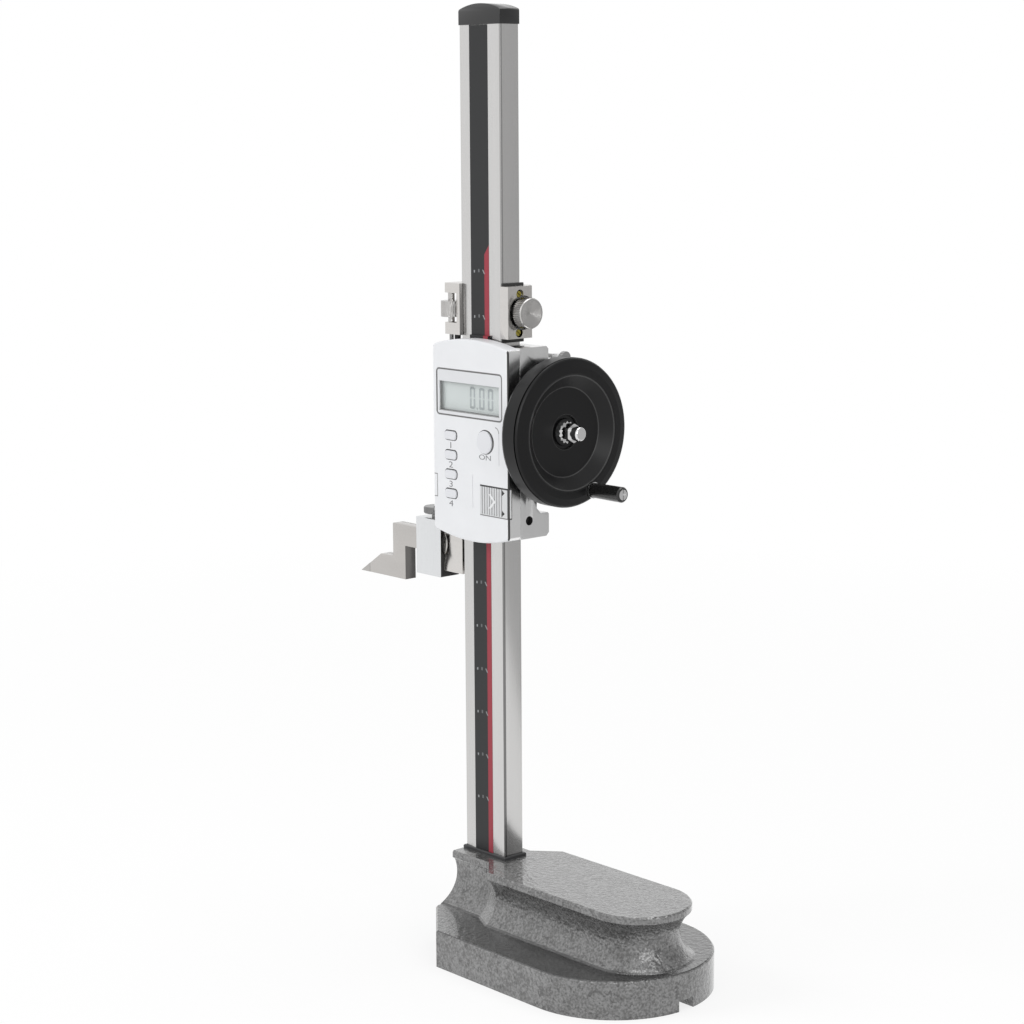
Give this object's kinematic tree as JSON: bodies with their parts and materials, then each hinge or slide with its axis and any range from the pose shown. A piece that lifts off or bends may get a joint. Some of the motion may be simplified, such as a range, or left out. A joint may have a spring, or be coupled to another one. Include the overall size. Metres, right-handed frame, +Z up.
{
  "type": "height gauge",
  "caption": "Free-standing digital height gauge: scriber and display slide on an upright column, driven by a hand wheel through rack and pinion, on a heavy waisted base.",
  "frame": {"origin": "centre line of the column on the plane of the sole", "axes": "+Z up along the column, +X towards the hand wheel and the round end of the base, -Y towards the operator and the display"},
  "size_m": [0.2684, 0.1136, 0.5384],
  "materials": {
    "base_paint": "glossy grey hammertone paint on iron",
    "dark_seal": "matt black",
    "dark_seal_metal": "blackened",
    "column_steel": "satin ground",
    "dark_fastener": "black oxide",
    "scale_black": "satin charcoal",
    "rack_steel": "machined",
    "cap_plastic": "glossy black",
    "frame_steel": "satin",
    "gib_brass": "machined",
    "bush_bronze": "machined",
    "grey_plastic": "matt",
    "silver_plastic": "light silver paint",
    "bezel_plastic": "satin silver grey",
    "lens": "clear",
    "lcd": "grey-green",
    "board": "green laminate",
    "cell_steel": "bright",
    "felt": "dark felt",
    "ground_steel": "ground",
    "clamp_steel": "satin",
    "carbide": "ground carbide",
    "knob_steel": "knurled and turned",
    "wheel_black": "satin black coating",
    "bright_chrome": "polished",
    "grip_plastic": "satin black",
    "key_plastic": "light silver",
    "cover_plastic": "light silver"
  },
  "bodies": {
    "base": {"base_casting": "base_paint", "column_collar": "dark_seal", "column_beam": "column_steel", "column_screws": "dark_fastener", "scale_strip": "scale_black", "rack": "rack_steel", "rack_screws": "dark_fastener", "end_cap": "cap_plastic"},
    "slider": {"slider_frame": "frame_steel", "slider_gib": "gib_brass", "gib_screws": "dark_fastener", "gear_housing": "frame_steel", "gear_housing_screws": "dark_fastener", "pinion_bushes": "bush_bronze", "housing_back_plate": "grey_plastic", "display_housing": "silver_plastic", "display_bezel": "bezel_plastic", "lens_window": "lens", "lcd_panel": "lcd", "circuit_board": "board", "key_switches": "grey_plastic", "read_head": "board", "coin_cell": "cell_steel", "battery_contacts": "cell_steel", "back_plate_screws": "dark_fastener", "scale_wiper": "felt", "jaw_arm": "ground_steel", "jaw_screws": "dark_fastener", "fine_adjust_rod": "knob_steel", "lug_screw": "dark_fastener", "scriber_clamp_box": "clamp_steel"},
    "scriber_bar": {"scriber": "ground_steel", "carbide_tip": "carbide"},
    "clamp_thumb_screw": {"clamp_screw": "knob_steel"},
    "lock_knob": {"slider_lock_knob": "knob_steel"},
    "wheel": {"pinion_shaft": "rack_steel", "pinion": "rack_steel", "hand_wheel": "wheel_black", "wheel_washer": "bright_chrome", "wheel_nut": "bright_chrome", "crank_stud": "bright_chrome", "crank_collar": "bright_chrome"},
    "grip": {"crank_grip": "grip_plastic"},
    "carriage": {"carriage_block": "ground_steel", "carriage_gib": "dark_seal_metal", "carriage_gib_screws": "gib_brass", "carriage_stop_pin": "dark_fastener"},
    "carriage_clamp_knob": {"carriage_knob": "knob_steel"},
    "fine_nut": {"fine_adjust_nut": "knob_steel"},
    "key_one": {"key_1": "key_plastic"},
    "key_two": {"key_2": "key_plastic"},
    "key_three": {"key_3": "key_plastic"},
    "key_four": {"key_4": "key_plastic"},
    "round_key": {"power_key": "key_plastic"},
    "battery_lid": {"battery_cover": "cover_plastic"},
    "port_lid": {"port_cover": "cover_plastic"}
  },
  "joints": [
    {"name": "slider_travel", "type": "slide", "parent": "base", "child": "slider", "axis": [0, 0, 1], "range_m": [-0.186, 0.135]},
    {"name": "wheel_spin", "type": "hinge", "parent": "slider", "child": "wheel", "pos_m": [0, 0.015, 0.3031], "axis": [1, 0, 0], "range_deg": [-1525, 1107]},
    {"name": "grip_spin", "type": "hinge", "parent": "wheel", "child": "grip", "pos_m": [0.0515, 0.0304, 0.2694], "axis": [1, 0, 0], "continuous": true},
    {"name": "scriber_slide", "type": "slide", "parent": "slider", "child": "scriber_bar", "axis": [-1, 0, 0], "range_m": [0, 0.007]},
    {"name": "clamp_screw_turn", "type": "hinge", "parent": "slider", "child": "clamp_thumb_screw", "pos_m": [-0.0464, -0.003, 0.246], "axis": [0, 0, 1], "range_deg": [0, 360]},
    {"name": "lock_knob_turn", "type": "hinge", "parent": "slider", "child": "lock_knob", "pos_m": [0.033, 0.0245, 0.3436], "axis": [1, 0, 0], "range_deg": [0, 180]},
    {"name": "carriage_slide", "type": "slide", "parent": "slider", "child": "carriage", "axis": [0, 0, 1], "range_m": [-0.001, 0.0052]},
    {"name": "carriage_knob_turn", "type": "hinge", "parent": "carriage", "child": "carriage_clamp_knob", "pos_m": [0.024, 0.0028, 0.3692], "axis": [1, 0, 0], "range_deg": [0, 180]},
    {"name": "fine_nut_turn", "type": "hinge", "parent": "carriage", "child": "fine_nut", "pos_m": [-0.0262, -0.0068, 0.37], "axis": [0, 0, 1], "range_deg": [-806, 4166]},
    {"name": "key_one_press", "type": "slide", "parent": "slider", "child": "key_one", "axis": [0, 1, 0], "range_m": [0, 0.0005], "stiffness_N_per_m": 400, "springref_m": -0.0015},
    {"name": "key_two_press", "type": "slide", "parent": "slider", "child": "key_two", "axis": [0, 1, 0], "range_m": [0, 0.0005], "stiffness_N_per_m": 400, "springref_m": -0.0015},
    {"name": "key_three_press", "type": "slide", "parent": "slider", "child": "key_three", "axis": [0, 1, 0], "range_m": [0, 0.0005], "stiffness_N_per_m": 400, "springref_m": -0.0015},
    {"name": "key_four_press", "type": "slide", "parent": "slider", "child": "key_four", "axis": [0, 1, 0], "range_m": [0, 0.0005], "stiffness_N_per_m": 400, "springref_m": -0.0015},
    {"name": "round_key_press", "type": "slide", "parent": "slider", "child": "round_key", "axis": [0, 1, 0], "range_m": [0, 0.0005], "stiffness_N_per_m": 400, "springref_m": -0.0015},
    {"name": "battery_cover_slide", "type": "slide", "parent": "slider", "child": "battery_lid", "axis": [1, 0, 0], "range_m": [0, 0.03]},
    {"name": "port_cover_slide", "type": "slide", "parent": "slider", "child": "port_lid", "axis": [-1, 0, 0], "range_m": [0, 0.006]}
  ],
  "couplings": [
    {"joint": "wheel_spin", "follows": "slider_travel", "rad_per_m": 142.86},
    {"joint": "fine_nut_turn", "follows": "carriage_slide", "rad_per_m": 13963}
  ]
}
